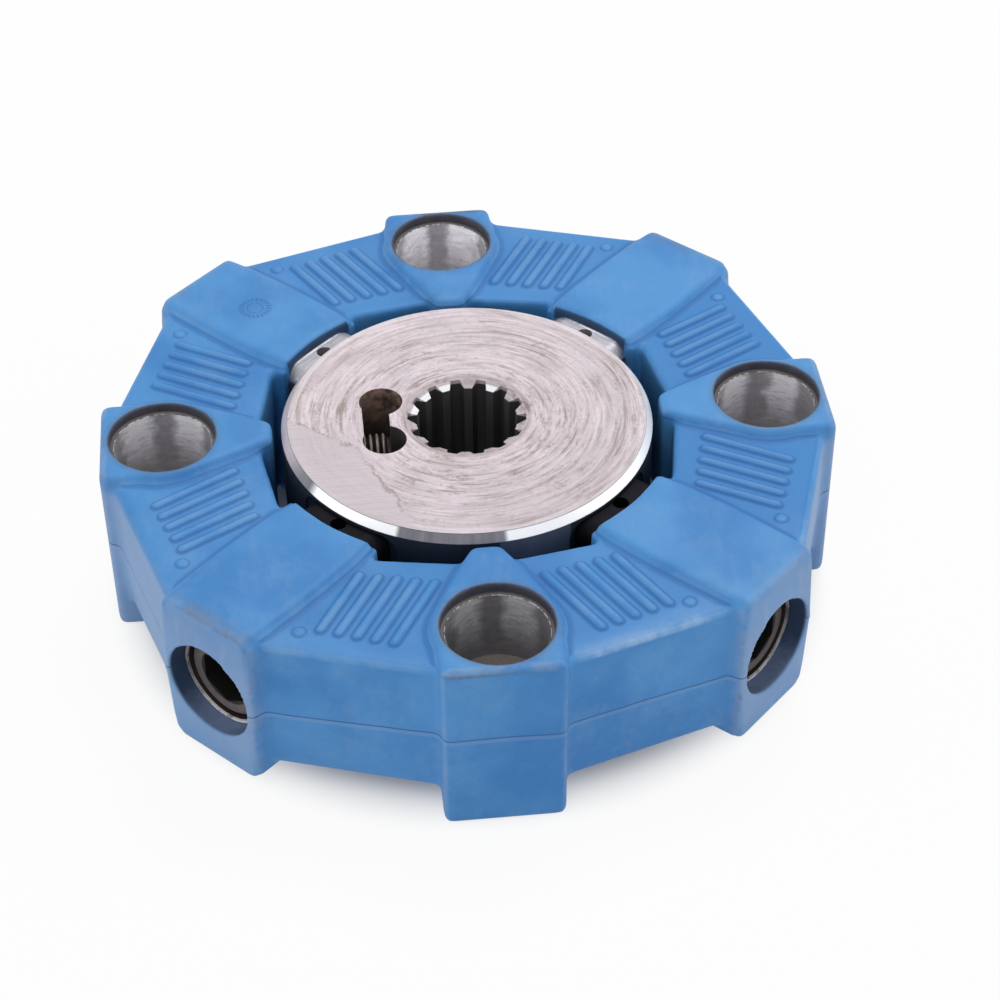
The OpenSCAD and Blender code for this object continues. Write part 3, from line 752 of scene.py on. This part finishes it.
    colour = m.mix(1 - m.step(r, *look["boreTo"]), side, bore)
    colour = m.mix(slot, colour, slotWall)
    colour = m.mix(onFace, colour, face)
    colour = m.mix(outerChamfer, colour, chamfer)
    colour = m.mix(leadIn, colour, lead)
    shiny = outerChamfer * (1 - darkReflection * 0.8)
    height = (fine * 0.9 + rare * 0.4) * (1 - sector) + straight * sector + speck * 0.3
    finish(m, {"Base Color": colour, "Metallic": onFace * 0.1 + shiny * 0.5,
               "Roughness": 0.5 - outerChamfer * 0.1 + speck * 0.1,
               "Normal": m.bump(height, look["bumpDepth"], 0.6)})
    return material


# bonded sleeves of the axial bosses

# the near-white wall colour is for painted reflections, and the dark one for the wall between them
sleeveLook = {"wall": (0.98, 0.96, 1.0), "dark": (0.36, 0.35, 0.375), "rim": (0.10, 0.085, 0.085),
              "shine": (0.70, 0.69, 0.70), "floor": (0.36, 0.32, 0.29),
              # painted light and shade: brightness of the wall of the front sleeve and of the back
              # one
              "front": 0.6, "back": 1.4, "frontAt": (-60, -40), "backAt": (40, 60),
              # widths of patches, heights and radii, in mm
              "speck": 0.8, "waver": 7, "litFrom": (30, 46), "floorAt": 30.3,
              "rimAt": (50.9, 51.0), "edgeAt": (13.25, 13.42), "bumpDepth": 0.06}


def sleeveFinish(look):
    material, m = newMaterial("sleeveSteel")
    where = m.place()
    x, y, z = m.axes(where)
    sideways = x.maths("GREATER_THAN", abs(x), abs(y))
    u = x - x.maths("SIGN", x) * boltCircle * sideways
    v = y - y.maths("SIGN", y) * boltCircle * (1 - sideways)
    r = m.length(u, v)
    cosine, sine = u / r, v / r
    streaks = m.noise(m.point(cosine * 3.5, sine * 3.5, z * 1.1), 1, 5, 0.65)
    speck = m.noise(where, look["speck"], 3, 0.7)
    waver = (m.noise(where, look["waver"], 3) - 0.5) * 0.5
    # painted reflections: bright lobes on both sides of each bore, only from partway up, so the
    # lower wall stays darker as painted shade
    reflectionLobes = m.band(abs(cosine) + waver, 0.36, 0.66, 0.26)
    lit = reflectionLobes * (0.5 + streaks) * m.step(z, *look["litFrom"])
    wall = m.mix(lit, look["dark"], look["wall"])
    wall = m.dim(wall, 0.35 + streaks * 0.9 + speck * 0.5)
    # painted shade on the front sleeve and painted light on the back one
    wall = m.mix(1 - m.step(y, *look["frontAt"]), wall, m.dim(wall, look["front"]))
    wall = m.mix(m.step(y, *look["backAt"]), wall, m.dim(wall, look["back"]))
    nicks = m.noise(m.point(x * 0.75, y * 0.75, z * 0.3), 1, 5, 0.7)
    edge = (1 - m.step(r, *look["edgeAt"])) * m.step(nicks, 0.46, 0.56)
    rim = m.mix(edge, m.dim(look["rim"], 0.5 + speck), look["shine"])
    floor = m.dim(look["floor"], 0.6 + speck * 0.6)
    colour = m.mix(m.step(abs(z - look["floorAt"]), 0.05, 0.1), floor, wall)
    colour = m.mix(m.step(z, *look["rimAt"]), colour, rim)
    finish(m, {"Base Color": colour, "Metallic": 0.1, "Roughness": 0.38 + streaks * 0.2,
               "Normal": m.bump(streaks * 0.8 + speck * 0.4, look["bumpDepth"], 0.7)})
    return material


# bonded inserts of the radial bosses

# edge: a painted highlight on the pad's edges, also used for bright patches at the bottom of the
# end ring
insertLook = {"strip": (0.40, 0.39, 0.43), "edge": (0.88, 0.87, 0.90),
              "bore": (0.05, 0.038, 0.034), "ring": (0.62, 0.58, 0.57),
              "frontDark": (0.012, 0.012, 0.015),
              # widths of patches and places on the pad and the sleeve, in mm
              "speck": 0.7, "patch": 3, "highlightEnd": (54.9, 55.3), "highlightSide": (12.2, 12.7),
              "outlineEnd": (55.5, 55.7), "outlineSide": (12.9, 13.1), "padTo": (57, 58),
              "frontDarkFrom": (-6, 6), "endAt": (97.7, 97.85), "ringDark": (22, 36),
              "brightBottomTo": (17, 24), "bumpDepth": 0.06}


def insertFinish(look):
    material, m = newMaterial("insertSteel")
    where = m.place()
    x, y, z = m.axes(where)
    along, across = m.radialAxes(x, y)
    brushed = m.noise(m.point(across * 0.12, along * 1.6, z * 1.2), 1, 4, 0.65)
    speck = m.noise(where, look["speck"], 3, 0.7)
    patches = m.noise(where, look["patch"], 5, 0.7)

    # top of the pad: a painted highlight along its edges, a dark outline, and the front ones
    # darker
    strip = m.dim(look["strip"], 0.2 + brushed * 1.2 + speck * 0.4)
    wearAndHighlight = m.band(along, *look["highlightEnd"], 0.2).atLeast(m.band(across, *look["highlightSide"], 0.2))
    wearAndHighlight = wearAndHighlight * m.step(z, 50, 50.4) * m.step(patches, 0.35, 0.5)
    strip = m.mix(wearAndHighlight, strip, look["edge"])
    outline = m.step(along, *look["outlineEnd"]).atLeast(m.step(across, *look["outlineSide"]))
    strip = m.mix(outline * 0.8, strip, look["bore"])
    strip = m.mix(m.step(patches, 0.62, 0.75) * 0.5, strip, look["bore"])
    inSleeve = m.step(along, *look["padTo"])
    # the front pads darker, more metallic and rougher
    frontDarkening = (1 - m.step(y, *look["frontDarkFrom"])) * (1 - inSleeve)
    strip = m.mix(frontDarkening, strip, look["frontDark"])

    # sleeve, and its end ring, with dark spots mostly in its upper part and bright jagged patches
    # along the bottom
    tube = m.dim(look["bore"], 0.5 + patches)
    upper = m.step(z, *look["ringDark"])
    spots = m.step(patches, 0.45, 0.58) * (1 - (1 - upper) * 0.7)
    ring = m.mix(spots, look["ring"], look["bore"])
    colour = m.mix(inSleeve, strip, tube)
    atEnd = m.step(along, *look["endAt"])
    brightBottom = (1 - m.step(z, *look["brightBottomTo"])) * atEnd * m.step(patches, 0.42, 0.5)
    colour = m.mix(atEnd, colour, ring)
    colour = m.mix(brightBottom, colour, look["edge"])
    finish(m, {"Base Color": colour, "Metallic": (0.6 + frontDarkening * 0.4) * (1 - brightBottom * 0.9),
               "Roughness": 0.36 + speck * 0.2 + frontDarkening * 0.2,
               "Normal": m.bump(brushed + speck * 0.4, look["bumpDepth"], 0.7)})
    return material


# radial screws: blackened steel, with the rim of the head worn and rusty

screwLook = {"black": (0.022, 0.019, 0.018), "rim": (0.20, 0.17, 0.165),
             "rust": (0.10, 0.055, 0.04), "speck": 0.6, "patch": 2.5,
             # outer edge of the head, in mm
             "rimFrom": (8.0, 8.4), "headAt": (95.6, 95.9), "bumpDepth": 0.06}


def screwFinish(look):
    material, m = newMaterial("screwBlack")
    where = m.place()
    x, y, z = m.axes(where)
    along, across = m.radialAxes(x, y)
    speck = m.noise(where, look["speck"], 3, 0.7)
    patches = m.noise(where, look["patch"], 5, 0.7)
    off = m.length(across, z - midZ)
    rim = m.step(off, *look["rimFrom"]) * m.step(along, *look["headAt"])
    colour = m.mix(rim * (0.35 + patches), look["black"], look["rim"])
    colour = m.mix(m.step(patches, 0.56, 0.7) * rim * 0.5, colour, look["rust"])
    colour = m.dim(colour, 0.7 + speck * 0.6)
    finish(m, {"Base Color": colour, "Metallic": 0.6, "Roughness": 0.4 + speck * 0.2,
               "Normal": m.bump(patches + speck * 0.5, look["bumpDepth"], 0.7)})
    return material


# clamp screw: rusty thread with bright crests

clampLook = {"root": (0.03, 0.018, 0.014), "crest": (0.62, 0.58, 0.56), "speck": 0.5,
             "axisZ": 42, "crestFrom": (5.65, 6.1), "bumpDepth": 0.05}


def clampFinish(look):
    material, m = newMaterial("clampScrewSteel")
    where = m.place()
    _, y, z = m.axes(where)
    off = m.length(y, z - look["axisZ"])
    speck = m.noise(where, look["speck"], 3, 0.7)
    colour = m.mix(m.step(off + speck * 0.5, *look["crestFrom"]), look["root"], look["crest"])
    finish(m, {"Base Color": colour, "Metallic": 0.7, "Roughness": 0.34 + speck * 0.2,
               "Normal": m.bump(speck, look["bumpDepth"], 0.6)})
    return material


dress(rubber, rubberFinish(rubberLook))
finishes = {"hub": hubFinish(hubLook), "axial": sleeveFinish(sleeveLook),
            "radial_insert": insertFinish(insertLook), "radial_screw": screwFinish(screwLook),
            "clamp": clampFinish(clampLook)}
for name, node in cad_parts.items():
    for start, material in finishes.items():
        if name.startswith(start):
            dress(node, material)
print("finishes set:", len(finishes) + 1)


# floor, lights and camera

studio = {"floorWidth": 2.4, "floor": (0.84, 0.84, 0.85), "world": 0.35,
          "sky": (0.96, 0.98, 1), "aim": (0, 0, 0.03),
          # the floor glows white, but less near the object, where its shadow lies
          "glow": 0.93, "glowFrom": (80, 104),
          # lamps: place, power in watts and width
          "lamps": {"key": ((0.25, 0.5, 1.15), 7.4, 0.5), "top": ((-0.25, -0.55, 1.15), 2.4, 0.6),
                    "front": ((-0.1, -1.2, 0.3), 1.7, 0.9),
                    "left": ((-1.2, -0.1, 0.35), 3.2, 0.8),
                    "right": ((1.2, -0.1, 0.35), 3.2, 0.8)}}


def seenDirectly(m):
    # 1 for what the camera sees, also in metal and glass
    path = m.add("LightPath", out="Is Camera Ray")
    return path.atLeast(path.other("Is Glossy Ray")).atLeast(path.other("Is Transmission Ray"))


def makeFloor(s):
    bm = bmesh.new()
    bmesh.ops.create_grid(bm, x_segments=1, y_segments=1, size=s["floorWidth"] / 2)
    floor = newMesh(bm, "floor")
    material, m = newMaterial("paperFloor")
    x, y, _ = m.axes(m.place())
    finish(m, {"Base Color": s["floor"], "Roughness": 0.9})
    glow = seenDirectly(m) * m.step(m.length(x, y), *s["glowFrom"]) * s["glow"]
    light = m.add("Emission", None, [(1, 1, 1), 1.0])
    plain = Wire(m, m.tree.nodes["Principled BSDF"].outputs[0])
    m.feed(m.tree.nodes["Material Output"].inputs["Surface"],
           m.add("MixShader", None, [glow, plain, light]))
    dress(floor, material)


def softLight(name, where, power, width, aim):
    data = bpy.data.lights.new(name, "AREA")
    data.shape, data.size, data.energy = "DISK", width, power
    lamp = bpy.data.objects.new(name, data)
    bpy.context.scene.collection.objects.link(lamp)
    lamp.location = where
    lamp.rotation_euler = (Vector(aim) - Vector(where)).to_track_quat("-Z", "Y").to_euler()


def makeWorld(s):
    world = bpy.data.worlds.new("studioWorld")
    bpy.context.scene.world = world
    world.use_nodes = True
    m = Shade(world.node_tree)
    soft = m.add("Background", None, [s["sky"], s["world"]])
    white = m.add("Background", None, [(1, 1, 1), 1.0])
    m.feed(m.tree.nodes["World Output"].inputs["Surface"],
           m.add("MixShader", None, [seenDirectly(m), soft, white]))


# place in metres, angles in degrees, lens in mm
view = {"place": (-0.041228, -0.523665, 0.476078), "turn": -5.45708668, "tilt": 40.7712205,
        "roll": -0.67303668, "lens": 89.2336}


def makeCamera(v):
    data = bpy.data.cameras.new("camera")
    data.lens, data.sensor_width, data.clip_start = v["lens"], 36, 0.01
    camera = bpy.data.objects.new("camera", data)
    bpy.context.scene.collection.objects.link(camera)
    a, e, roll = (math.radians(v[k]) for k in ("turn", "tilt", "roll"))
    back = Vector((math.sin(a) * math.cos(e), -math.cos(a) * math.cos(e), math.sin(e)))
    right = Vector((math.cos(a), math.sin(a), 0))
    up = back.cross(right)
    across = right * math.cos(roll) + up * math.sin(roll)
    upward = up * math.cos(roll) - right * math.sin(roll)
    turn = Matrix((across, upward, back)).transposed()
    camera.matrix_world = Matrix.Translation(v["place"]) @ turn.to_4x4()
    bpy.context.scene.camera = camera


makeFloor(studio)
for name, (where, power, width) in studio["lamps"].items():
    softLight(name, where, power, width, studio["aim"])
makeWorld(studio)
makeCamera(view)
bpy.context.scene.view_settings.view_transform = "Standard"
print("studio ready")
